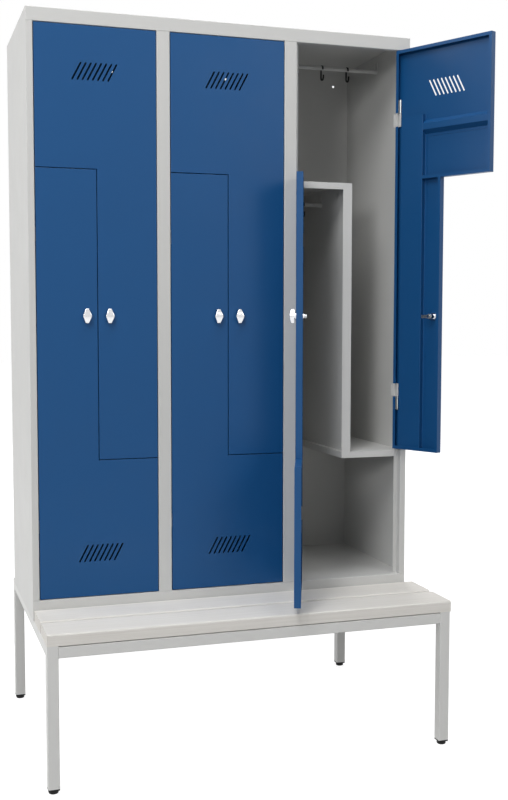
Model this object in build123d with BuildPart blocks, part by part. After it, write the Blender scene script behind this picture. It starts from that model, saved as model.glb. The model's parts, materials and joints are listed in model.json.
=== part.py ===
from build123d import *
import os
from math import atan2, cos, degrees, hypot, radians, sin

# A three-bay steel locker on a slatted bench. Lengths in millimetres, angles in degrees.
# X runs along the front to the right, Y runs to the back and Z runs up from the floor.

# Driving dimensions of the cabinet
bay_count = 3
bay_pitch = 400.0
end_post_width = 20.0
middle_post_width = 40.0
body_depth = 510.0
opening_height = 1672.0
top_band_height = 40.0
sill_height = 61.0
sheet = 1.0
fold_radius = 2.0
rebate_depth = 22.0
stop_width = 12.0
band_upturn = 12.0
back_turn_down = 20.0
floor_return = 25.0
wall_hole_radius = 4.0
wall_hole_offset = 144.0
wall_hole_drop = 57.0

# Driving dimensions of the bench
seat_height = 448.0
slat_count = 2
slat_thickness = 33.0
slat_width = 128.0
slat_gap = 16.0
slat_rounding = 5.0
slat_body_gap = 2.0
tube = 32.0
tube_wall = 2.0
tube_rounding = 2.5
bench_left_inset = 3.0
bench_right_reach = 22.5
bench_back_reach = 70.0
slat_left_inset = 1.0
slat_right_overhang = 2.5
front_rail_drop = 3.0
front_rail_set_back = 1.0
cross_rail_set_back = 5.0
foot_height = 15.0
foot_cap = 4.0
foot_radius = 14.0
foot_rounding = 4.0
foot_spigot = 20.0
foot_clearance = 0.2
screw_radius = 2.4
screw_head_radius = 5.0
screw_head = 3.0
screw_grip = 20.0
screw_clearance = 0.1
screw_pitch = 50.0

# Driving dimensions of the doors
door_gap = 2.0
split_gap = 2.0
wide_part_height = 410.0
door_thickness = 20.0
door_rounding = 1.5
lip_return = 10.0
upper_door_rest = 116.0
lower_door_rest = 111.0

# Vent slots, one slanted group in each door
vent_count = 8
vent_pitch = 14.9
vent_rise = 46.5
vent_run = 24.5
vent_width = 4.8
vent_drop = 129.5
vent_offset = 4.0

# Stiffeners inside each door
channel_near = 20.0
channel_far = 105.0
stiffener_depth = 17.0
stiffener_flange = 8.0
stiffener_fold = 1.2
hat_drop = 225.0
hat_height = 43.0
hat_side_run = 12.0
hat_over_channel = 17.0
strip_clearance = 1.0

# Hinges
pin_inset = 9.0
pin_depth = 4.8
pin_radius = 2.0
knuckle_radius = 3.5
pin_clearance = 0.08
pin_proud = 2.0
leaf_height = 41.0
leaf_gap = 1.0
leaf_arm = 2.0
leaf_plate = 1.5
leaf_inner_reach = 16.0
leaf_outer_reach = 6.0
notch_clearance = 0.8
high_hinge_drop = 216.0
low_hinge_rise = 189.0
knuckle_strap = 3.0
knuckle_plate = 1.5
knuckle_plate_start = 2.0
knuckle_plate_end = 17.0

# Latches
latch_offset = 33.5
barrel_radius = 8.5
barrel_clearance = 0.1
barrel_flange = 2.5
barrel_flange_radius = 11.0
barrel_nut = 5.0
barrel_nut_radius = 13.0
spindle_radius = 4.0
spindle_clearance = 0.1
knob_gap = 0.3
knob_neck = 3.0
knob_neck_radius = 8.0
knob_thickness = 14.0
knob_end_thickness = 9.0
knob_half_height = 21.5
knob_half_width = 13.0
knob_end_half_width = 5.0
knob_waist = 2.0
knob_corner = 3.0
knob_rounding = 2.5
cam_clearance = 1.5
cam_thickness = 2.5
cam_hub_radius = 7.0
cam_reach = 28.0
cam_width = 10.0
cam_nut = 4.0
cam_nut_radius = 6.5
cam_bore_clearance = 0.05
cam_barrel_gap = 1.0

# Partitions, and the rails with their coat hooks
shelf_drop = 7.0
shelf_lip = 20.0
shelf_lip_return = 8.0
web_flange = 30.0
rail_radius = 6.5
rail_wall = 1.2
rail_set_back = 251.0
wide_rail_drop = 54.0
narrow_rail_drop = 47.0
bracket_plate = 2.0
bracket_width = 10.0
bracket_above = 33.0
bracket_clearance = 0.2
socket_wall = 1.5
socket_length = 11.0
cheek_thickness = 1.5
cheek_above = 29.0
hook_width = 5.0
hook_strip = 2.5
hook_clearance = 0.2
hook_lip = 5.0
hook_shank = 29.0
hook_curl = 10.5
hook_tip = 6.0
wide_hook_count = 3
wide_hook_pitch = 90.0
narrow_hook_count = 2
narrow_hook_pitch = 70.0

# One overrun serves every cut that starts outside a piece, and every nut has six sides
overrun = 5.0
nut_sides = 6

# Sizes that follow
bay_opening = bay_pitch - middle_post_width
body_width = bay_count * bay_opening + (bay_count - 1) * middle_post_width + 2 * end_post_width
half_bay = bay_opening / 2
frame_height = seat_height - slat_thickness
opening_bottom = frame_height + sill_height
opening_top = opening_bottom + opening_height
body_top = opening_top + top_band_height
middle_z = (opening_bottom + opening_top) / 2
split_rise = opening_height / 2 - wide_part_height
partition_front = rebate_depth + sheet
bench_front_reach = slat_body_gap + slat_count * slat_width + (slat_count - 1) * slat_gap

# A door's own frame: u towards its hinges, v away from its narrow end, origin at the bay's centre
door_edge = half_bay - door_gap
door_end = opening_height / 2 - door_gap
pin_u = half_bay - pin_inset
leg_edge = split_gap / 2
wide_end = split_rise + split_gap / 2
narrow_end = -split_rise + split_gap / 2
high_hinge = opening_height / 2 - high_hinge_drop
low_hinge = narrow_end + low_hinge_rise
door_outline = [
    (-door_edge, door_end),
    (door_edge, door_end),
    (door_edge, narrow_end),
    (leg_edge, narrow_end),
    (leg_edge, wide_end),
    (-door_edge, wide_end),
]

# The origin is on the floor under the middle of the object's box, with the last bay's doors open
door_reach = pin_u + door_edge
upper_turn, lower_turn = radians(upper_door_rest), radians(lower_door_rest)
last_opening = body_width - end_post_width
right_reach = last_opening - pin_inset - door_reach * cos(upper_turn) + pin_depth * sin(upper_turn)
lip_end = door_thickness - pin_depth
front_reach = door_reach * sin(lower_turn) - lip_end * cos(lower_turn) - pin_depth
left_x = -right_reach / 2
front_y = -(body_depth + bench_back_reach - front_reach) / 2
right_x = left_x + body_width
back_y = front_y + body_depth
bay_centres = [left_x + end_post_width + half_bay + bay * bay_pitch for bay in range(bay_count)]
post_centres = [centre + bay_pitch / 2 for centre in bay_centres[:-1]]
left_walls = [left_x + sheet] + [centre + sheet / 2 for centre in post_centres]
right_walls = [centre - sheet / 2 for centre in post_centres] + [right_x - sheet]


def save(piece, label):
    piece.part.label = label
    export_step(piece.part, f"parts/{label}.step")


def block(x_range, y_range, z_range, mode=Mode.ADD):
    with Locations((x_range[0], y_range[0], z_range[0])):
        Box(
            x_range[1] - x_range[0],
            y_range[1] - y_range[0],
            z_range[1] - z_range[0],
            align=(Align.MIN, Align.MIN, Align.MIN),
            mode=mode,
        )


# A folded sheet's section: its outer surface runs through the points, its thickness lies to one side
def folded(points, side, radius=fold_radius):
    with BuildLine() as outline:
        FilletPolyline(*points, radius=radius)
        offset(amount=sheet, side=side, kind=Kind.INTERSECTION)
    make_face(outline.edges())


# A side panel with its end post, rebate and door stop; the band and the sill run into it
def build_side_panel(label, outer_x, inward):
    side = Side.LEFT if inward > 0 else Side.RIGHT
    corner = outer_x + inward * end_post_width
    stop_end = corner + inward * stop_width
    with BuildPart() as panel:
        with BuildSketch(Plane.XY.offset(frame_height)):
            folded(
                [
                    (outer_x, back_y - sheet),
                    (outer_x, front_y),
                    (corner, front_y),
                    (corner, front_y + rebate_depth),
                    (stop_end, front_y + rebate_depth),
                ],
                side,
            )
        extrude(amount=body_top - frame_height)
        cut_x = sorted([outer_x + inward * sheet, stop_end + inward * overrun])
        cut_y = (front_y - overrun, front_y + partition_front + overrun)
        for z_range in ((frame_height - overrun, opening_bottom), (opening_top, body_top + overrun)):
            block(cut_x, cut_y, z_range, mode=Mode.SUBTRACT)
    save(panel, label)


# The top panel: turned-down back, top sheet, front band and its return above the doors
def build_top_panel():
    inner_back = back_y - sheet
    with BuildPart() as top:
        with BuildSketch(Plane.YZ.offset(left_x + sheet)):
            folded(
                [
                    (front_y + rebate_depth, opening_top + band_upturn),
                    (front_y + rebate_depth, opening_top),
                    (front_y, opening_top),
                    (front_y, body_top),
                    (inner_back, body_top),
                    (inner_back, body_top - back_turn_down),
                ],
                Side.RIGHT,
            )
        extrude(amount=body_width - 2 * sheet)
    save(top, "top_panel")


# The floor panel: front sill, floor sheet and turned-in feet that stand on the bench frame
def build_floor_panel():
    inner_back = back_y - sheet
    with BuildPart() as floor:
        with BuildSketch(Plane.YZ.offset(left_x + sheet)):
            folded(
                [
                    (front_y + floor_return, frame_height),
                    (front_y, frame_height),
                    (front_y, opening_bottom),
                    (inner_back, opening_bottom),
                    (inner_back, frame_height),
                    (inner_back - floor_return, frame_height),
                ],
                Side.RIGHT,
            )
        extrude(amount=body_width - 2 * sheet)
    save(floor, "floor_panel")


# The back panel, with one wall-fixing hole high in each bay
def build_back_panel():
    back_plane = Plane((left_x, back_y, frame_height), x_dir=(1, 0, 0), z_dir=(0, -1, 0))
    panel_height = body_top - frame_height
    holes = [
        (centre + wall_hole_offset - left_x, panel_height - wall_hole_drop) for centre in bay_centres
    ]
    with BuildPart() as back:
        with BuildSketch(back_plane):
            Rectangle(body_width, panel_height, align=(Align.MIN, Align.MIN))
            with Locations(*holes):
                Circle(wall_hole_radius, mode=Mode.SUBTRACT)
        extrude(amount=sheet)
    save(back, "back_panel")


# The middle posts: hat sections with a door stop on each side
def build_middle_posts():
    half_post = middle_post_width / 2
    stop_y = front_y + rebate_depth
    with BuildPart() as posts:
        for centre in post_centres:
            with BuildSketch(Plane.XY.offset(opening_bottom)):
                folded(
                    [
                        (centre - half_post - stop_width, stop_y),
                        (centre - half_post, stop_y),
                        (centre - half_post, front_y),
                        (centre + half_post, front_y),
                        (centre + half_post, stop_y),
                        (centre + half_post + stop_width, stop_y),
                    ],
                    Side.LEFT,
                )
            extrude(amount=opening_height)
    save(posts, "middle_posts")


# The dividing walls, from behind the posts to the back, notched round the band's return
def build_dividers():
    with BuildPart() as dividers:
        for centre in post_centres:
            x_range = (centre - sheet / 2, centre + sheet / 2)
            block(x_range, (front_y + sheet, back_y - 2 * sheet), (opening_bottom, opening_top))
            block(
                x_range,
                (front_y + rebate_depth, back_y - 2 * sheet),
                (opening_top, body_top - sheet),
            )
        top_edges = dividers.edges().filter_by(Axis.X).group_by(Axis.Z)[-1]
        chamfer(top_edges.group_by(Axis.Y)[-1], length=fold_radius)
    save(dividers, "dividers")


# A bay's Z-shaped partition: upper shelf to the left, web in the middle, lower shelf to the right
def build_partition(bay):
    centre = bay_centres[bay]
    front = front_y + partition_front
    behind = front + sheet
    back = back_y - 2 * sheet
    upper_top = middle_z + split_rise - shelf_drop
    lower_top = middle_z - split_rise - shelf_drop
    flange_left, flange_right = centre - web_flange / 2, centre + web_flange / 2
    with BuildPart() as partition:
        block((flange_left, flange_right), (front, behind), (lower_top - shelf_lip, upper_top))
        block((centre - sheet / 2, centre + sheet / 2), (behind, back), (lower_top, upper_top - sheet))
        for x_sheet, x_lip, x_end, shelf_top in (
            (
                (left_walls[bay], flange_right),
                (left_walls[bay], flange_left),
                (flange_right - sheet, flange_right),
                upper_top,
            ),
            (
                (flange_left, right_walls[bay]),
                (flange_right, right_walls[bay]),
                (flange_left, flange_left + sheet),
                lower_top,
            ),
        ):
            bottom = shelf_top - shelf_lip
            block(x_sheet, (behind, back), (shelf_top - sheet, shelf_top))
            block(x_lip, (front, behind), (bottom, shelf_top))
            block(x_lip, (behind, behind + shelf_lip_return), (bottom, bottom + sheet))
            block(x_end, (behind, back), (bottom, shelf_top - sheet))
    save(partition, f"z_partition_{bay + 1}")


# Where each hook rail runs: its left wall, its right wall and the height of its middle line
def rail_places():
    places = []
    shelf_underside = middle_z + split_rise - shelf_drop - sheet
    for bay, centre in enumerate(bay_centres):
        wide = (left_walls[bay], right_walls[bay], body_top - sheet - wide_rail_drop)
        narrow = (left_walls[bay], centre - sheet / 2, shelf_underside - narrow_rail_drop)
        places += [wide, narrow]
    return places


# Where each coat hook hangs: its place along X and its rail's height
def hook_places():
    places = []
    hooks_in_turn = ((wide_hook_count, wide_hook_pitch), (narrow_hook_count, narrow_hook_pitch))
    for index, (left, right, rail_z) in enumerate(rail_places()):
        count, pitch = hooks_in_turn[index % len(hooks_in_turn)]
        first_x = (left + right) / 2 - (count - 1) * pitch / 2
        places += [(first_x + hook * pitch, rail_z) for hook in range(count)]
    return places


# The hook rails: round tubes from bracket to bracket
def build_hook_rails():
    end_gap = bracket_plate + bracket_clearance
    with BuildPart() as rails:
        for left, right, rail_z in rail_places():
            with BuildSketch(Plane.YZ.offset(left + end_gap)):
                with Locations((front_y + rail_set_back, rail_z)):
                    Circle(rail_radius)
                    Circle(rail_radius - rail_wall, mode=Mode.SUBTRACT)
            extrude(amount=right - left - 2 * end_gap)
    save(rails, "hook_rails")


# A rail bracket: a plate on the wall, a socket round the rail's end and a cheek above the socket
def add_rail_bracket(wall_x, inward, rail_z):
    rail_y = front_y + rail_set_back
    socket_radius = rail_radius + bracket_clearance + socket_wall
    y_range = (rail_y - bracket_width / 2, rail_y + bracket_width / 2)
    socket_end = wall_x + inward * socket_length
    plate_x = sorted((wall_x, wall_x + inward * bracket_plate))
    cheek_x = sorted((socket_end - inward * cheek_thickness, socket_end))
    block(plate_x, y_range, (rail_z - socket_radius, rail_z + bracket_above))
    block(cheek_x, y_range, (rail_z, rail_z + cheek_above))
    with BuildSketch(Plane.YZ.offset(wall_x)) as socket:
        with Locations((rail_y, rail_z)):
            Circle(socket_radius)
    extrude(socket.sketch, amount=inward * socket_length)
    with BuildSketch(Plane.YZ.offset(wall_x + inward * bracket_plate)) as bore:
        with Locations((rail_y, rail_z)):
            Circle(rail_radius + bracket_clearance)
    extrude(bore.sketch, amount=inward * socket_length, mode=Mode.SUBTRACT)


def build_rail_brackets():
    with BuildPart() as brackets:
        for left, right, rail_z in rail_places():
            add_rail_bracket(left, 1, rail_z)
            add_rail_bracket(right, -1, rail_z)
    save(brackets, "rail_brackets")


# A half circle about a middle point, from its front round to its back: over the top or underneath
def half_turn(middle_y, middle_z, radius, rise):
    ThreePointArc(
        (middle_y - radius, middle_z),
        (middle_y, middle_z + rise * radius),
        (middle_y + radius, middle_z),
    )


# The coat hooks: a strip bent over the rail, down behind it and forward into an upturned curl
def build_coat_hooks():
    rail_y = front_y + rail_set_back
    loop = rail_radius + hook_clearance + hook_strip / 2
    lip_y, shank_y = rail_y - loop, rail_y + loop
    tip_y = shank_y - 2 * hook_curl
    with BuildPart() as hooks:
        for x, rail_z in hook_places():
            curl_z = rail_z - hook_shank
            with BuildSketch(Plane.YZ.offset(x - hook_width / 2)):
                with BuildLine():
                    Line((lip_y, rail_z - hook_lip), (lip_y, rail_z))
                    half_turn(rail_y, rail_z, loop, 1)
                    Line((shank_y, rail_z), (shank_y, curl_z))
                    half_turn(shank_y - hook_curl, curl_z, hook_curl, -1)
                    Line((tip_y, curl_z), (tip_y, curl_z + hook_tip))
                trace(line_width=hook_strip)
            extrude(amount=hook_width)
    save(hooks, "coat_hooks")


# A door's frame as it hangs closed: x towards its hinges, y away from its narrow end, z to the front
def closed_leaf(bay, upper):
    towards_hinge = (1, 0, 0) if upper else (-1, 0, 0)
    return Plane((bay_centres[bay], front_y, middle_z), x_dir=towards_hinge, z_dir=(0, -1, 0))


# The same frame as the door stands at rest: only the last bay's doors are open
def resting_leaf(bay, upper):
    closed = closed_leaf(bay, upper)
    if bay < bay_count - 1:
        return closed
    turn = upper_turn if upper else -lower_turn
    side = 1 if upper else -1
    hinge_dir = Vector(side * cos(turn), side * sin(turn), 0)
    out_dir = Vector(sin(turn), -cos(turn), 0)
    pin = closed.from_local_coords(Vector(pin_u, 0, -pin_depth))
    origin = pin - hinge_dir * pin_u + out_dir * pin_depth
    return Plane(origin, x_dir=hinge_dir, z_dir=out_dir)


# A plane across a door at height v, with x as u and y as the depth behind the door's face
def level(leaf, v):
    return Plane(leaf.from_local_coords(Vector(0, v, 0)), x_dir=leaf.x_dir, z_dir=leaf.y_dir)


# A plane down a door at place u, with x as v and y as the depth, looking away from the hinges
def upright(leaf, u):
    return Plane(leaf.from_local_coords(Vector(u, 0, 0)), x_dir=leaf.y_dir, z_dir=leaf.x_dir * -1)


# The height ranges of a door's two hinges: the frame leaf, then the door's knuckle beyond it
def hinge_ranges():
    ranges = []
    for centre, away in ((high_hinge, 1), (low_hinge, -1)):
        leaf_end = centre + away * leaf_height / 2
        leaf_range = (centre - leaf_height / 2, centre + leaf_height / 2)
        start = leaf_end + away * leaf_gap
        knuckle_range = tuple(sorted((start, start + away * leaf_height)))
        pin_range = tuple(sorted((centre, start + away * (leaf_height + pin_proud))))
        ranges.append((leaf_range, knuckle_range, pin_range))
    return ranges


# A door shell: a pressed tray with returned lips, notched at the hinges, slotted for air
def build_door_shell(label, leaf):
    front_axis = Axis(leaf.origin, leaf.z_dir)
    vent_angle = degrees(atan2(vent_rise, vent_run))
    vent_length = hypot(vent_rise, vent_run) + vent_width
    inner_depth = door_thickness - sheet
    with BuildPart(leaf) as door:
        with BuildSketch(leaf):
            with BuildLine():
                Polyline(*door_outline, close=True)
            make_face()
        extrude(amount=-door_thickness)
        fillet(door.faces().sort_by(front_axis)[-1].edges(), radius=door_rounding)
        for start, inset, stop in ((sheet, sheet, inner_depth), (inner_depth, lip_return, door_thickness)):
            with BuildSketch(leaf.offset(-start)):
                with BuildLine():
                    Polyline(*door_outline, close=True)
                make_face()
                offset(amount=-inset, kind=Kind.INTERSECTION)
            extrude(amount=start - stop, mode=Mode.SUBTRACT)
        for (low, high), knuckle_range, pin_range in hinge_ranges():
            block(
                (door_edge - lip_return - sheet, door_edge + overrun),
                (low - notch_clearance, high + notch_clearance),
                (-door_thickness - overrun, -sheet),
                mode=Mode.SUBTRACT,
            )
        with BuildSketch(leaf):
            with Locations((-vent_offset, door_end - vent_drop)):
                with GridLocations(vent_pitch, 0, vent_count, 1):
                    SlotOverall(vent_length, vent_width, rotation=vent_angle)
            with Locations((latch_offset, 0)):
                Circle(barrel_radius + barrel_clearance)
        extrude(amount=-2 * sheet, mode=Mode.SUBTRACT)
    save(door, label)


# A door's stiffeners: upright channel, cross hat section, and the strip across the narrow part
def build_stiffeners(label, leaf):
    near, far = door_edge - channel_near, door_edge - channel_far
    foot = 2 * sheet
    channel_bottom = narrow_end + 2 * sheet
    hat_top = door_end - hat_drop
    hat_bottom = hat_top - hat_height
    with BuildPart() as stiffeners:
        with BuildSketch(level(leaf, channel_bottom)):
            folded(
                [
                    (near + stiffener_flange, foot),
                    (near, foot),
                    (near, stiffener_depth),
                    (far, stiffener_depth),
                    (far, foot),
                    (far - stiffener_flange, foot),
                ],
                Side.LEFT,
                stiffener_fold,
            )
        extrude(amount=hat_top + hat_over_channel - channel_bottom)
        with BuildSketch(upright(leaf, far)):
            folded(
                [
                    (hat_top + stiffener_flange, foot),
                    (hat_top, foot),
                    (hat_top - hat_side_run, stiffener_depth),
                    (hat_bottom + hat_side_run, stiffener_depth),
                    (hat_bottom, foot),
                    (hat_bottom - stiffener_flange, foot),
                ],
                Side.LEFT,
                stiffener_fold,
            )
        extrude(amount=far + door_edge - lip_return - strip_clearance)
        with BuildSketch(upright(leaf, far)):
            folded(
                [
                    (wide_end + lip_return, door_thickness),
                    (wide_end, door_thickness),
                    (wide_end, sheet),
                ],
                Side.LEFT,
                stiffener_fold,
            )
        extrude(amount=far - leg_edge - lip_return)
    save(stiffeners, label)


# The frame leaves of one door's hinges: knuckle with its pin, arm and plate on the door stop
def add_frame_leaves(leaf):
    plate_depth = rebate_depth - leaf_plate
    arm_u = pin_u - knuckle_radius
    for leaf_range, knuckle_range, pin_range in hinge_ranges():
        with BuildSketch(level(leaf, leaf_range[0])) as plate:
            with Locations((pin_u, pin_depth)):
                Circle(knuckle_radius)
            with Locations((arm_u, pin_depth)):
                Rectangle(leaf_arm, rebate_depth - pin_depth, align=(Align.MIN, Align.MIN))
            with Locations((pin_u - leaf_inner_reach, plate_depth)):
                Rectangle(
                    leaf_inner_reach + leaf_outer_reach, leaf_plate, align=(Align.MIN, Align.MIN)
                )
        extrude(plate.sketch, amount=leaf_height)
        with BuildSketch(level(leaf, pin_range[0])) as pin:
            with Locations((pin_u, pin_depth)):
                Circle(pin_radius)
        extrude(pin.sketch, amount=pin_range[1] - pin_range[0])


# The frame leaves of every door, fixed to the posts
def build_hinge_leaves():
    with BuildPart() as leaves:
        for bay in range(bay_count):
            for upper in (True, False):
                add_frame_leaves(closed_leaf(bay, upper))
    save(leaves, "hinge_leaves")


# A door's own knuckles: a sleeve round the pin and a strap welded inside the door's lip
def build_knuckles(label, leaf):
    lip_u = door_edge - sheet
    with BuildPart() as knuckles:
        for leaf_range, (low, high), pin_range in hinge_ranges():
            with BuildSketch(level(leaf, low)):
                with Locations((pin_u, pin_depth)):
                    Circle(knuckle_radius)
                with Locations((pin_u, pin_depth - knuckle_strap / 2)):
                    Rectangle(lip_u - pin_u, knuckle_strap, align=(Align.MIN, Align.MIN))
                with Locations((lip_u - knuckle_plate, knuckle_plate_start)):
                    Rectangle(
                        knuckle_plate,
                        knuckle_plate_end - knuckle_plate_start,
                        align=(Align.MIN, Align.MIN),
                    )
                with Locations((pin_u, pin_depth)):
                    Circle(pin_radius + pin_clearance, mode=Mode.SUBTRACT)
            extrude(amount=leaf_height)
    save(knuckles, label)


# A lock barrel: flange in front of the door, housing through it, nut behind it
def build_lock_barrel(label, leaf):
    barrel_end = partition_front + sheet + cam_clearance - cam_barrel_gap
    with BuildPart() as barrel:
        with BuildSketch(leaf):
            with Locations((latch_offset, 0)):
                Circle(barrel_flange_radius)
        extrude(amount=barrel_flange)
        with BuildSketch(leaf):
            with Locations((latch_offset, 0)):
                Circle(barrel_radius)
        extrude(amount=-barrel_end)
        with BuildSketch(leaf.offset(-sheet)):
            with Locations((latch_offset, 0)):
                RegularPolygon(barrel_nut_radius, nut_sides)
        extrude(amount=-barrel_nut)
        with BuildSketch(leaf.offset(barrel_flange)):
            with Locations((latch_offset, 0)):
                Circle(spindle_radius + spindle_clearance)
        extrude(amount=-barrel_end - barrel_flange, mode=Mode.SUBTRACT)
    save(barrel, label)


# A handle: a lozenge knob on a neck, thickest in its middle, with the spindle that carries the cam
def build_handle(label, leaf):
    neck_from = barrel_flange + knob_gap
    knob_from = neck_from + knob_neck
    cam_end = partition_front + sheet + cam_clearance + cam_thickness + cam_nut
    knob_outline = [
        (knob_end_half_width, knob_half_height),
        (knob_half_width, knob_waist),
        (knob_half_width, -knob_waist),
        (knob_end_half_width, -knob_half_height),
        (-knob_end_half_width, -knob_half_height),
        (-knob_half_width, -knob_waist),
        (-knob_half_width, knob_waist),
        (-knob_end_half_width, knob_half_height),
    ]
    with BuildPart() as handle:
        with BuildSketch(leaf.offset(knob_from)) as outline:
            with BuildLine():
                Polyline(*[(u + latch_offset, v) for u, v in knob_outline], close=True)
            make_face()
            fillet(outline.vertices(), radius=knob_corner)
        extrude(amount=knob_thickness)
        with BuildSketch(upright(leaf, latch_offset)):
            with BuildLine():
                ThreePointArc(
                    (-knob_half_height, -knob_from - knob_end_thickness),
                    (0, -knob_from - knob_thickness),
                    (knob_half_height, -knob_from - knob_end_thickness),
                )
                Polyline(
                    (knob_half_height, -knob_from - knob_end_thickness),
                    (knob_half_height, -knob_from),
                    (-knob_half_height, -knob_from),
                    (-knob_half_height, -knob_from - knob_end_thickness),
                )
            make_face()
        extrude(amount=knob_half_width, both=True, mode=Mode.INTERSECT)
        fillet(handle.faces().sort_by(Axis(leaf.origin, leaf.z_dir))[-1].edges(), radius=knob_rounding)
        with BuildSketch(leaf.offset(neck_from)):
            with Locations((latch_offset, 0)):
                Circle(knob_neck_radius)
        extrude(amount=knob_neck)
        with BuildSketch(leaf.offset(neck_from)):
            with Locations((latch_offset, 0)):
                Circle(spindle_radius)
        extrude(amount=-cam_end - neck_from)
    save(handle, label)


# A cam and its nut at the end of the spindle; at rest it points away from the partition
def build_cam(label, leaf):
    cam_from = partition_front + sheet + cam_clearance
    with BuildPart() as cam:
        with BuildSketch(leaf.offset(-cam_from)):
            with Locations((latch_offset, 0)):
                Circle(cam_hub_radius)
                Rectangle(cam_reach, cam_width, align=(Align.MIN, Align.CENTER))
                Circle(spindle_radius + cam_bore_clearance, mode=Mode.SUBTRACT)
        extrude(amount=-cam_thickness)
        with BuildSketch(leaf.offset(-cam_from - cam_thickness)):
            with Locations((latch_offset, 0)):
                RegularPolygon(cam_nut_radius, nut_sides)
                Circle(spindle_radius + cam_bore_clearance, mode=Mode.SUBTRACT)
        extrude(amount=-cam_nut)
    save(cam, label)


# The bench frame's outer faces
bench_left = left_x + bench_left_inset
bench_right = right_x + bench_right_reach
bench_front = front_y - bench_front_reach
bench_back = back_y + bench_back_reach
support_xs = [bench_left + tube / 2, (bench_left + bench_right) / 2, bench_right - tube / 2]
slat_fronts = [bench_front + index * (slat_width + slat_gap) for index in range(slat_count)]
screw_spots = [
    (x, front + slat_width / 2 + side * screw_pitch / 2)
    for x in support_xs
    for front in slat_fronts
    for side in (-1, 1)
]


def tube_section():
    RectangleRounded(tube, tube, tube_rounding)
    Rectangle(tube - 2 * tube_wall, tube - 2 * tube_wall, mode=Mode.SUBTRACT)


# A straight tube along X or Y, given by its middle line's start and its length
def tube_along_x(x_start, length, y, z):
    with BuildSketch(Plane((x_start, y, z), x_dir=(0, 1, 0), z_dir=(1, 0, 0))) as section:
        tube_section()
    extrude(section.sketch, amount=length)


def tube_along_y(y_start, length, x, z):
    with BuildSketch(Plane((x, y_start, z), x_dir=(-1, 0, 0), z_dir=(0, 1, 0))) as section:
        tube_section()
    extrude(section.sketch, amount=length)


# Clearance holes for the slat screws, bored through whatever rail is there
def bore_screw_holes(spots, bottom, top):
    with BuildSketch(Plane.XY.offset(bottom)) as holes:
        with Locations(*spots):
            Circle(screw_radius + screw_clearance)
    extrude(holes.sketch, amount=top - bottom, mode=Mode.SUBTRACT)


# Two legs of the bench
def build_legs(label, y):
    with BuildPart() as legs:
        with BuildSketch(Plane.XY.offset(foot_height)):
            with Locations((support_xs[0], y), (support_xs[-1], y)):
                tube_section()
        extrude(amount=frame_height - foot_height)
    save(legs, label)


# The rails between the legs
def build_rails():
    inner_left, inner_right = bench_left + tube, bench_right - tube
    span = inner_right - inner_left
    rail_z = frame_height - tube / 2
    front_rail_y = bench_front + tube / 2 + front_rail_set_back
    side_start = bench_front + tube
    side_length = bench_back - bench_front - 2 * tube
    with BuildPart() as front_rail:
        tube_along_x(inner_left, span, front_rail_y, rail_z - front_rail_drop)
    save(front_rail, "front_rail")
    with BuildPart() as back_rail:
        tube_along_x(inner_left, span, bench_back - tube / 2, rail_z)
    save(back_rail, "back_rail")
    with BuildPart() as side_rails:
        for x in (support_xs[0], support_xs[-1]):
            tube_along_y(side_start, side_length, x, rail_z)
        side_spots = [spot for spot in screw_spots if spot[0] != support_xs[1]]
        bore_screw_holes(side_spots, frame_height - tube - overrun, frame_height + overrun)
    save(side_rails, "side_rails")
    cross_front = front_y + cross_rail_set_back
    bearer_start = bench_front + tube + front_rail_set_back
    with BuildPart() as cross_rails:
        tube_along_x(inner_left, span, cross_front + tube / 2, rail_z)
        tube_along_x(inner_left, span, back_y - cross_rail_set_back - tube / 2, rail_z)
        tube_along_y(bearer_start, cross_front - bearer_start, support_xs[1], rail_z)
        middle_spots = [spot for spot in screw_spots if spot[0] == support_xs[1]]
        bore_screw_holes(middle_spots, frame_height - tube - overrun, frame_height + overrun)
    save(cross_rails, "cross_rails")


# A seat slat with rounded long edges and blind screw holes underneath
def build_slat(label, index):
    slat_left = bench_left + slat_left_inset
    slat_length = bench_right + slat_right_overhang - slat_left
    front = slat_fronts[index]
    spots = [spot for spot in screw_spots if front < spot[1] < front + slat_width]
    hole_depth = screw_grip + screw_clearance
    with BuildPart() as slat:
        block(
            (slat_left, slat_left + slat_length),
            (front, front + slat_width),
            (frame_height, seat_height),
        )
        fillet(slat.faces().sort_by(Axis.Z)[-1].edges().filter_by(Axis.X), radius=slat_rounding)
        with BuildSketch(Plane.XY.offset(frame_height)):
            with Locations(*spots):
                Circle(screw_radius + screw_clearance)
        extrude(amount=hole_depth, mode=Mode.SUBTRACT)
    save(slat, label)


# The slat screws, driven up through the rails into the slats
def build_slat_screws():
    rail_bottom = frame_height - tube
    with BuildPart() as screws:
        with BuildSketch(Plane.XY.offset(rail_bottom - screw_head)):
            with Locations(*screw_spots):
                Circle(screw_head_radius)
        extrude(amount=screw_head)
        with BuildSketch(Plane.XY.offset(rail_bottom)):
            with Locations(*screw_spots):
                Circle(screw_radius)
        extrude(amount=tube + screw_grip)
    save(screws, "slat_screws")


# The foot plugs: a rounded foot, a square cap under the tube and a spigot inside it
def build_feet():
    spigot = tube - 2 * (tube_wall + foot_clearance)
    spots = [(x, y) for x in (support_xs[0], support_xs[-1]) for y in leg_ys]
    with BuildPart() as feet:
        with BuildSketch():
            with Locations(*spots):
                Circle(foot_radius)
        extrude(amount=foot_height - foot_cap)
        fillet(feet.faces().group_by(Axis.Z)[0].edges(), radius=foot_rounding)
        with BuildSketch(Plane.XY.offset(foot_height - foot_cap)):
            with Locations(*spots):
                RectangleRounded(tube, tube, tube_rounding)
        extrude(amount=foot_cap)
        with BuildSketch(Plane.XY.offset(foot_height)):
            with Locations(*spots):
                Rectangle(spigot, spigot)
        extrude(amount=foot_spigot)
    save(feet, "feet")


leg_ys = [bench_front + tube / 2, bench_back - tube / 2]


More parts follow.
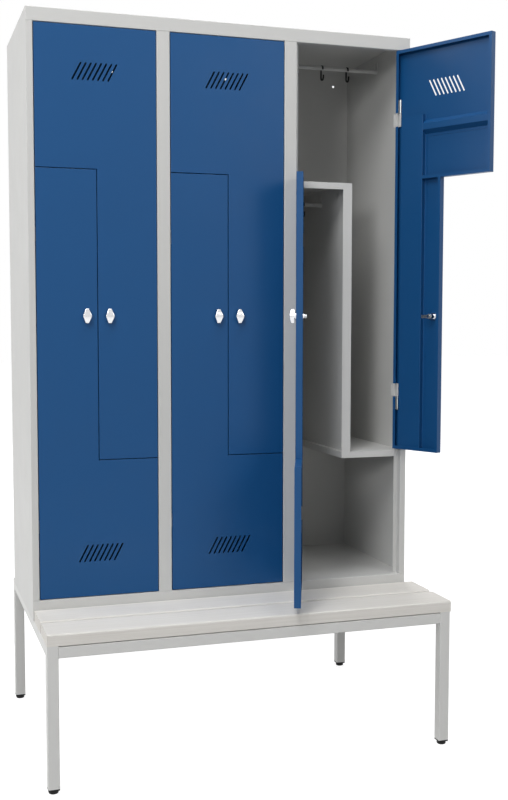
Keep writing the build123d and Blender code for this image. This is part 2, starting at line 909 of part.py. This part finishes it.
def build_cabinet():
    build_side_panel("side_panel_left", left_x, 1)
    build_side_panel("side_panel_right", right_x, -1)
    build_top_panel()
    build_floor_panel()
    build_back_panel()
    build_middle_posts()
    build_dividers()
    for bay in range(bay_count):
        build_partition(bay)
    build_hook_rails()
    build_rail_brackets()
    build_coat_hooks()
    build_hinge_leaves()


def build_doors():
    for bay in range(bay_count):
        for upper in (True, False):
            name = f"{bay + 1}_{'upper' if upper else 'lower'}"
            leaf = resting_leaf(bay, upper)
            build_door_shell(f"door_shell_{name}", leaf)
            build_stiffeners(f"door_stiffeners_{name}", leaf)
            build_knuckles(f"hinge_knuckles_{name}", leaf)
            build_lock_barrel(f"lock_barrel_{name}", leaf)
            build_handle(f"handle_{name}", leaf)
            build_cam(f"lock_cam_{name}", leaf)


def build_bench():
    build_legs("front_legs", leg_ys[0])
    build_legs("back_legs", leg_ys[-1])
    build_rails()
    for index in range(slat_count):
        build_slat(f"seat_slat_{index + 1}", index)
    build_slat_screws()
    build_feet()


os.makedirs("parts", exist_ok=True)
build_cabinet()
build_doors()
build_bench()
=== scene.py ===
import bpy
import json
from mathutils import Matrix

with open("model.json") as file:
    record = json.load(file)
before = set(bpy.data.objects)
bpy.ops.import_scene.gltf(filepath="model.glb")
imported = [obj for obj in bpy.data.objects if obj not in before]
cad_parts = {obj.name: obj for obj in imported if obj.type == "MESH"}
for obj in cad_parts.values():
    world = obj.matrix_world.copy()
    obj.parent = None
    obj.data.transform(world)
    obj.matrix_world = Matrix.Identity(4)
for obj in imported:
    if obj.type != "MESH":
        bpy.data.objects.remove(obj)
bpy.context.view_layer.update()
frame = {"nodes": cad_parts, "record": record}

import json
import math

import bpy
from mathutils import Matrix, Vector

print("stage: locker frame loaded,", len(frame["nodes"]), "nodes")

# The camera stands left of the locker's middle and looks a little down and to the right
cameraView = {
    "place": (-1.0504, -3.4148, 1.3069),
    "yaw": 18.006,
    "pitch": -4.184,
    "roll": 0.066,
    "lens": 50.50,
    "sensor": 36.0,
}


def makeCamera():
    data = bpy.data.cameras.new("viewCamera")
    data.sensor_width = cameraView["sensor"]
    data.lens = cameraView["lens"]
    camera = bpy.data.objects.new("viewCamera", data)
    turn = (
        Matrix.Rotation(-math.radians(cameraView["yaw"]), 4, "Z")
        @ Matrix.Rotation(math.radians(90 + cameraView["pitch"]), 4, "X")
        @ Matrix.Rotation(math.radians(cameraView["roll"]), 4, "Z")
    )
    camera.matrix_world = Matrix.Translation(cameraView["place"]) @ turn
    bpy.context.scene.collection.objects.link(camera)
    bpy.context.scene.camera = camera


makeCamera()
print("stage: camera set")


def newGroup(name, inputs, outputs):
    group = bpy.data.node_groups.new(name, "ShaderNodeTree")
    for label, kind, value in inputs:
        socket = group.interface.new_socket(label, in_out="INPUT", socket_type=kind)
        socket.default_value = value
    for label, kind in outputs:
        group.interface.new_socket(label, in_out="OUTPUT", socket_type=kind)
    return group, group.nodes.new("NodeGroupInput"), group.nodes.new("NodeGroupOutput")


def addNode(tree, kind, **settings):
    node = tree.nodes.new(kind)
    for key, value in settings.items():
        setattr(node, key, value)
    return node


def noise(tree, vector, scale, detail=2.0, roughness=0.5):
    node = addNode(tree, "ShaderNodeTexNoise")
    node.inputs["Detail"].default_value = detail
    node.inputs["Roughness"].default_value = roughness
    if isinstance(scale, (int, float)):
        node.inputs["Scale"].default_value = scale
    else:
        tree.links.new(scale, node.inputs["Scale"])
    tree.links.new(vector, node.inputs["Vector"])
    return node.outputs["Fac"]


def spread(tree, value, low, high, toLow, toHigh):
    node = addNode(tree, "ShaderNodeMapRange")
    for label, number in (("From Min", low), ("From Max", high)):
        node.inputs[label].default_value = number
    for label, number in (("To Min", toLow), ("To Max", toHigh)):
        if isinstance(number, (int, float)):
            node.inputs[label].default_value = number
        else:
            tree.links.new(number, node.inputs[label])
    tree.links.new(value, node.inputs["Value"])
    return node.outputs["Result"]


# Where a noise texture's middle range starts and ends, for turning it into a full blend
midNoise = (0.3, 0.7)

# Powder coat: slow tone drift, fine orange peel, and patches in the gloss
powderCoat = {
    "color": (0.5, 0.5, 0.5, 1),
    "drift": 0.04,
    "driftScale": 2.3,
    "peelScale": 520.0,
    "peelHeight": 0.00002,
    "patchScale": 9.0,
    "gloss": (0.36, 0.46),
}


def makePowderGroup():
    group, start, end = newGroup(
        "powderCoat",
        [
            ("Color", "NodeSocketColor", powderCoat["color"]),
            ("Drift", "NodeSocketFloat", powderCoat["drift"]),
            ("Peel Scale", "NodeSocketFloat", powderCoat["peelScale"]),
            ("Peel Height", "NodeSocketFloat", powderCoat["peelHeight"]),
            ("Gloss Low", "NodeSocketFloat", powderCoat["gloss"][0]),
            ("Gloss High", "NodeSocketFloat", powderCoat["gloss"][1]),
        ],
        [
            ("Color", "NodeSocketColor"),
            ("Roughness", "NodeSocketFloat"),
            ("Height", "NodeSocketFloat"),
        ],
    )
    place = addNode(group, "ShaderNodeTexCoord").outputs["Object"]
    slow = noise(group, place, powderCoat["driftScale"], detail=3.0)
    fine = noise(group, place, start.outputs["Peel Scale"], detail=1.5)
    patch = noise(group, place, powderCoat["patchScale"], detail=4.0, roughness=0.6)
    tone = addNode(group, "ShaderNodeMath", operation="MULTIPLY_ADD")
    centred = addNode(group, "ShaderNodeMath", operation="SUBTRACT")
    group.links.new(slow, centred.inputs[0])
    centred.inputs[1].default_value = 0.5
    group.links.new(centred.outputs[0], tone.inputs[0])
    group.links.new(start.outputs["Drift"], tone.inputs[1])
    tone.inputs[2].default_value = 1.0
    tint = addNode(group, "ShaderNodeVectorMath", operation="SCALE")
    group.links.new(start.outputs["Color"], tint.inputs[0])
    group.links.new(tone.outputs[0], tint.inputs["Scale"])
    group.links.new(tint.outputs[0], end.inputs["Color"])
    gloss = spread(
        group, patch, *midNoise, start.outputs["Gloss Low"], start.outputs["Gloss High"]
    )
    group.links.new(gloss, end.inputs["Roughness"])
    height = addNode(group, "ShaderNodeMath", operation="MULTIPLY")
    group.links.new(fine, height.inputs[0])
    group.links.new(start.outputs["Peel Height"], height.inputs[1])
    group.links.new(height.outputs[0], end.inputs["Height"])
    return group


# Drawn metal or moulded slats: fine streaks along one axis
streaks = {"stretch": (400.0, 400.0, 12.0), "rough": (0.28, 0.42)}


def makeStreakGroup():
    group, start, end = newGroup(
        "streaks",
        [
            ("Stretch", "NodeSocketVector", streaks["stretch"]),
            ("Low", "NodeSocketFloat", streaks["rough"][0]),
            ("High", "NodeSocketFloat", streaks["rough"][1]),
        ],
        [("Fac", "NodeSocketFloat"), ("Roughness", "NodeSocketFloat")],
    )
    place = addNode(group, "ShaderNodeTexCoord").outputs["Object"]
    stretch = addNode(group, "ShaderNodeVectorMath", operation="MULTIPLY")
    group.links.new(place, stretch.inputs[0])
    group.links.new(start.outputs["Stretch"], stretch.inputs[1])
    lines = noise(group, stretch.outputs[0], 1.0, detail=4.0, roughness=0.6)
    group.links.new(lines, end.inputs["Fac"])
    rough = spread(group, lines, *midNoise, start.outputs["Low"], start.outputs["High"])
    group.links.new(rough, end.inputs["Roughness"])
    return group


powderGroup = makePowderGroup()
streakGroup = makeStreakGroup()


# Screen colour from 0 to 255 made linear
def linear(r, g, b):
    def one(v):
        v /= 255.0
        return v / 12.92 if v <= 0.04045 else ((v + 0.055) / 1.055) ** 2.4
    return (one(r), one(g), one(b), 1.0)


def newMaterial(name):
    material = bpy.data.materials.new(name)
    material.use_nodes = True
    tree = material.node_tree
    return material, tree, tree.nodes["Principled BSDF"]


def useGroup(tree, group, **values):
    node = addNode(tree, "ShaderNodeGroup", node_tree=group)
    for key, value in values.items():
        node.inputs[key].default_value = value
    return node


def bumpFrom(tree, height, shader):
    bump = addNode(tree, "ShaderNodeBump")
    bump.inputs["Strength"].default_value = 1.0
    bump.inputs["Distance"].default_value = 1.0
    tree.links.new(height, bump.inputs["Height"])
    tree.links.new(bump.outputs["Normal"], shader.inputs["Normal"])


paintSpecular = 0.3
paints = {
    "bodyPaint": {"color": linear(206, 206, 204), "drift": 0.03, "gloss": (0.40, 0.50)},
    "benchPaint": {"color": linear(218, 218, 216), "drift": 0.03, "gloss": (0.40, 0.50)},
    "doorPaint": {"color": linear(18, 76, 128), "drift": 0.06, "gloss": (0.36, 0.44)},
}


def makePaint(name):
    finish = paints[name]
    material, tree, shader = newMaterial(name)
    coat = useGroup(tree, powderGroup)
    coat.inputs["Color"].default_value = finish["color"]
    coat.inputs["Drift"].default_value = finish["drift"]
    for label, number in zip(("Gloss Low", "Gloss High"), finish["gloss"]):
        coat.inputs[label].default_value = number
    tree.links.new(coat.outputs["Color"], shader.inputs["Base Color"])
    tree.links.new(coat.outputs["Roughness"], shader.inputs["Roughness"])
    shader.inputs["Specular IOR Level"].default_value = paintSpecular
    bumpFrom(tree, coat.outputs["Height"], shader)
    return material


# Pale moulded slats with faint streaks along their length
slatLook = {
    "low": (225, 222, 216),
    "high": (232, 229, 224),
    "blend": (0.35, 0.65),
    "stretch": (3.0, 240.0, 240.0),
    "rough": (0.62, 0.74),
    "specular": 0.08,
    "streakHeight": 0.00004,
}


def makeSlatFinish():
    material, tree, shader = newMaterial("slatFinish")
    low, high = slatLook["rough"]
    grain = useGroup(tree, streakGroup, Stretch=slatLook["stretch"], Low=low, High=high)
    tone = addNode(tree, "ShaderNodeMix", data_type="RGBA")
    tone.inputs["A"].default_value = linear(*slatLook["low"])
    tone.inputs["B"].default_value = linear(*slatLook["high"])
    blend = spread(tree, grain.outputs["Fac"], *slatLook["blend"], 0.0, 1.0)
    tree.links.new(blend, tone.inputs["Factor"])
    tree.links.new(tone.outputs["Result"], shader.inputs["Base Color"])
    tree.links.new(grain.outputs["Roughness"], shader.inputs["Roughness"])
    shader.inputs["Specular IOR Level"].default_value = slatLook["specular"]
    height = addNode(tree, "ShaderNodeMath", operation="MULTIPLY")
    height.inputs[1].default_value = slatLook["streakHeight"]
    tree.links.new(grain.outputs["Fac"], height.inputs[0])
    bumpFrom(tree, height.outputs[0], shader)
    return material


# Moulded hooks and foot plugs: nearly black, finely pitted
plasticLook = {
    "low": (10, 10, 11),
    "high": (22, 22, 23),
    "toneScale": 40.0,
    "pitScale": 900.0,
    "pitHeight": 0.00003,
    "rough": (0.34, 0.5),
    "specular": 0.2,
}


def makeBlackPlastic():
    material, tree, shader = newMaterial("blackPlastic")
    place = addNode(tree, "ShaderNodeTexCoord").outputs["Object"]
    pits = noise(tree, place, plasticLook["pitScale"])
    tone = addNode(tree, "ShaderNodeMix", data_type="RGBA")
    tone.inputs["A"].default_value = linear(*plasticLook["low"])
    tone.inputs["B"].default_value = linear(*plasticLook["high"])
    blotch = noise(tree, place, plasticLook["toneScale"], detail=3.0)
    tree.links.new(blotch, tone.inputs["Factor"])
    tree.links.new(tone.outputs["Result"], shader.inputs["Base Color"])
    rough = spread(tree, pits, *midNoise, *plasticLook["rough"])
    tree.links.new(rough, shader.inputs["Roughness"])
    shader.inputs["Specular IOR Level"].default_value = plasticLook["specular"]
    height = addNode(tree, "ShaderNodeMath", operation="MULTIPLY")
    height.inputs[1].default_value = plasticLook["pitHeight"]
    tree.links.new(pits, height.inputs[0])
    bumpFrom(tree, height.outputs[0], shader)
    return material


metals = {
    "hingeSteel": {
        "low": (176, 177, 176),
        "high": (206, 207, 206),
        "stretch": (300.0, 300.0, 20.0),
        "rough": (0.30, 0.45),
    },
    "zincSteel": {
        "low": (150, 152, 153),
        "high": (196, 198, 198),
        "stretch": (160.0, 160.0, 160.0),
        "rough": (0.25, 0.45),
    },
    "brightChrome": {
        "low": (202, 203, 205),
        "high": (232, 233, 235),
        "stretch": (90.0, 90.0, 90.0),
        "rough": (0.10, 0.20),
    },
}


def makeMetal(name):
    finish = metals[name]
    material, tree, shader = newMaterial(name)
    shader.inputs["Metallic"].default_value = 1.0
    low, high = finish["rough"]
    lines = useGroup(tree, streakGroup, Stretch=finish["stretch"], Low=low, High=high)
    tone = addNode(tree, "ShaderNodeMix", data_type="RGBA")
    tone.inputs["A"].default_value = linear(*finish["low"])
    tone.inputs["B"].default_value = linear(*finish["high"])
    tree.links.new(lines.outputs["Fac"], tone.inputs["Factor"])
    tree.links.new(tone.outputs["Result"], shader.inputs["Base Color"])
    tree.links.new(lines.outputs["Roughness"], shader.inputs["Roughness"])
    return material


materials = {name: makePaint(name) for name in paints}
materials.update({name: makeMetal(name) for name in metals})
materials["slatFinish"] = makeSlatFinish()
materials["blackPlastic"] = makeBlackPlastic()

finishOfSlot = {
    "body_sheet": "bodyPaint",
    "black_plastic": "blackPlastic",
    "hinge_steel": "hingeSteel",
    "bench_frame": "benchPaint",
    "seat_slats": "slatFinish",
    "zinc_steel": "zincSteel",
    "door_paint": "doorPaint",
    "latch_chrome": "brightChrome",
}


def dressFrame():
    slotOf = {s["node"]: s["material_slot"] for s in frame["record"]["subparts"]}
    for name, node in frame["nodes"].items():
        node.data.materials.clear()
        node.data.materials.append(materials[finishOfSlot[slotOf[name]]])


dressFrame()
print("stage: finishes on", len(frame["nodes"]), "nodes")

# Pale floor, white surroundings and soft lamps
studio = {
    "floorSize": 60.0,
    "floorGlow": 0.86,
    "glowRange": (1.6, 4.0),
    "floorShade": 0.45,
    "floorBounce": 0.45,
    "worldStrength": 0.03,
    "aim": (0.0, -0.1, 1.1),
}

# Each lamp's bearing from straight in front (left is minus), height angle, distance, size
# and level; at level 1 it alone would light a surface that faces it to its written colour
lamps = {
    "keyLamp": {"bearing": -38.0, "height": 48.0, "distance": 5.0, "size": 2.5, "level": 0.41},
    "lowKeyLamp": {"bearing": -37.0, "height": 15.0, "distance": 9.0, "size": 2.0, "level": 0.23},
    "sideLamp": {"bearing": -108.0, "height": 10.0, "distance": 7.0, "size": 3.0, "level": 0.34},
    "frontLamp": {"bearing": 30.0, "height": 20.0, "distance": 9.0, "size": 3.5, "level": 0.12},
    "rightLamp": {"bearing": 70.0, "height": 25.0, "distance": 8.0, "size": 3.0, "level": 0.09},
    "topLamp": {"bearing": 0.0, "height": 80.0, "distance": 6.0, "size": 3.0, "level": 0.385},
    "backLamp": {"bearing": 165.0, "height": 24.0, "distance": 8.0, "size": 4.0, "level": 0.33},
}


def whiteForCamera(tree):
    seen = addNode(tree, "ShaderNodeLightPath")
    either = addNode(tree, "ShaderNodeMath", operation="MAXIMUM")
    clear = addNode(tree, "ShaderNodeMath", operation="MAXIMUM")
    tree.links.new(seen.outputs["Is Camera Ray"], either.inputs[0])
    tree.links.new(seen.outputs["Is Glossy Ray"], either.inputs[1])
    tree.links.new(either.outputs[0], clear.inputs[0])
    tree.links.new(seen.outputs["Is Transmission Ray"], clear.inputs[1])
    return clear.outputs[0]


def makeWorld():
    world = bpy.data.worlds.new("studioWorld")
    world.use_nodes = True
    bpy.context.scene.world = world
    tree = world.node_tree
    tree.nodes.clear()
    out = addNode(tree, "ShaderNodeOutputWorld")
    soft = addNode(tree, "ShaderNodeBackground")
    soft.inputs["Color"].default_value = (1, 1, 1, 1)
    soft.inputs["Strength"].default_value = studio["worldStrength"]
    plain = addNode(tree, "ShaderNodeBackground")
    plain.inputs["Color"].default_value = (1, 1, 1, 1)
    plain.inputs["Strength"].default_value = 1.0
    mix = addNode(tree, "ShaderNodeMixShader")
    tree.links.new(whiteForCamera(tree), mix.inputs[0])
    tree.links.new(soft.outputs[0], mix.inputs[1])
    tree.links.new(plain.outputs[0], mix.inputs[2])
    tree.links.new(mix.outputs[0], out.inputs["Surface"])


def makeLamp(name):
    lamp = lamps[name]
    bearing, height = math.radians(lamp["bearing"]), math.radians(lamp["height"])
    away = Vector((
        math.sin(bearing) * math.cos(height),
        -math.cos(bearing) * math.cos(height),
        math.sin(height),
    ))
    data = bpy.data.lights.new(name, "AREA")
    data.shape = "DISK"
    data.size = lamp["size"]
    data.energy = lamp["level"] * (math.pi * lamp["distance"]) ** 2
    holder = bpy.data.objects.new(name, data)
    holder.location = Vector(studio["aim"]) + away * lamp["distance"]
    holder.rotation_mode = "QUATERNION"
    holder.rotation_quaternion = away.to_track_quat("Z", "Y")
    bpy.context.scene.collection.objects.link(holder)


def makeFloor():
    half = studio["floorSize"] / 2
    corners = [(-half, -half, 0), (half, -half, 0), (half, half, 0), (-half, half, 0)]
    mesh = bpy.data.meshes.new("studioFloor")
    mesh.from_pydata(corners, [], [(0, 1, 2, 3)])
    floor = bpy.data.objects.new("studioFloor", mesh)
    bpy.context.scene.collection.objects.link(floor)
    material, tree, shader = newMaterial("floorPaper")
    shader.inputs["Base Color"].default_value = (studio["floorBounce"],) * 3 + (1,)
    shader.inputs["Roughness"].default_value = 1.0
    out = tree.nodes["Material Output"]
    glow = addNode(tree, "ShaderNodeEmission")
    glow.inputs["Color"].default_value = (1, 1, 1, 1)
    away = addNode(tree, "ShaderNodeVectorMath", operation="LENGTH")
    tree.links.new(addNode(tree, "ShaderNodeTexCoord").outputs["Object"], away.inputs[0])
    near, far = studio["glowRange"]
    brighter = spread(tree, away.outputs["Value"], near, far, studio["floorGlow"], 1.0)
    tree.links.new(brighter, glow.inputs["Strength"])
    pale = addNode(tree, "ShaderNodeBsdfDiffuse")
    pale.inputs["Color"].default_value = (studio["floorShade"],) * 3 + (1,)
    seen = addNode(tree, "ShaderNodeAddShader")
    tree.links.new(glow.outputs[0], seen.inputs[0])
    tree.links.new(pale.outputs[0], seen.inputs[1])
    mix = addNode(tree, "ShaderNodeMixShader")
    tree.links.new(whiteForCamera(tree), mix.inputs[0])
    tree.links.new(shader.outputs[0], mix.inputs[1])
    tree.links.new(seen.outputs[0], mix.inputs[2])
    tree.links.new(mix.outputs[0], out.inputs["Surface"])
    floor.data.materials.append(material)


makeWorld()
for lampName in lamps:
    makeLamp(lampName)
makeFloor()
bpy.context.scene.view_settings.view_transform = "Standard"
print("stage: studio lit")
